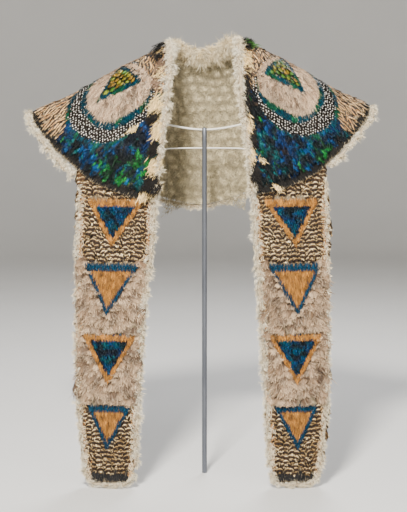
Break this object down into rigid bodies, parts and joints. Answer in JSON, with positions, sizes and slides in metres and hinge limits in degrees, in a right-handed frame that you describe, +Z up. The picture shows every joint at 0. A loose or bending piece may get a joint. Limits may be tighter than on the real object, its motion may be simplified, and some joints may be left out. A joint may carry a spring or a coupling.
{
  "type": "feather pelerine on rod stand",
  "caption": "Feather-covered shoulder cape with pointed tips and long front lappets, edged in white down, worn over the shoulders and shown on a slim rod stand with cross wires and padded arms.",
  "frame": {"origin": "centre of the rod's foot, on the surface it stands on", "axes": "+Z up along the rod, -Y towards the viewer where the wearer's front faces, +X to the viewer's right"},
  "size_m": [0.6982, 0.2336, 0.8766],
  "materials": {
    "ground_cloth": "woven linen ground under the feathers",
    "lining": "fuzzy cream and beige lining",
    "white_down": "loose white down edging",
    "brown_feather": "tan feathers with dark brown streaks",
    "barred_feather": "dark brown feathers barred with cream",
    "pale_feather": "pale pinkish beige fluffy feathers",
    "teal_feather": "dark teal iridescent feathers",
    "blue_green_feather": "deep blue and green iridescent feathers",
    "spotted_feather": "grey-black feathers with round white spots",
    "gold_green_feather": "gold-green scale feathers",
    "orange_feather": "orange feathers",
    "black_feather": "matt black feathers",
    "rod_steel": "blue-grey steel",
    "white_wire": "white painted wire",
    "arm_cover": "plain padded cover"
  },
  "bodies": {
    "root": {"arm_left": "arm_cover", "arm_right": "arm_cover", "barred_lower_left": "barred_feather", "barred_lower_right": "barred_feather", "barred_upper_left": "barred_feather", "barred_upper_right": "barred_feather", "border_1_left": "orange_feather", "border_1_right": "orange_feather", "border_2_left": "teal_feather", "border_2_right": "teal_feather", "border_3_left": "orange_feather", "border_3_right": "orange_feather", "border_4_left": "teal_feather", "border_4_right": "teal_feather", "breast_field_back": "blue_green_feather", "breast_field_left": "blue_green_feather", "breast_field_right": "blue_green_feather", "brown_field_left": "brown_feather", "brown_field_right": "brown_feather", "cape_back": "ground_cloth", "cape_front_left": "ground_cloth", "cape_front_right": "ground_cloth", "cape_lining": "lining", "end_band_left": "black_feather", "end_band_right": "black_feather", "front_down_left": "white_down", "front_down_right": "white_down", "hem_band": "black_feather", "hem_down": "white_down", "lappet_down_left": "white_down", "lappet_down_right": "white_down", "lappet_left": "ground_cloth", "lappet_right": "ground_cloth", "lower_wire": "white_wire", "neck_down": "white_down", "outer_crescent_left": "teal_feather", "outer_crescent_right": "teal_feather", "pale_field_left": "pale_feather", "pale_field_right": "pale_feather", "pale_oval_left": "pale_feather", "pale_oval_right": "pale_feather", "rod": "rod_steel", "scale_triangle_left": "gold_green_feather", "scale_triangle_right": "gold_green_feather", "spotted_crescent_left": "spotted_feather", "spotted_crescent_right": "spotted_feather", "teal_crescent_left": "teal_feather", "teal_crescent_right": "teal_feather", "triangle_1_left": "blue_green_feather", "triangle_1_right": "blue_green_feather", "triangle_2_left": "orange_feather", "triangle_2_right": "orange_feather", "triangle_3_left": "blue_green_feather", "triangle_3_right": "blue_green_feather", "triangle_4_left": "orange_feather", "triangle_4_right": "orange_feather", "triangle_border_left": "teal_feather", "triangle_border_right": "teal_feather", "upper_wire": "white_wire"}
  },
  "joints": []
}
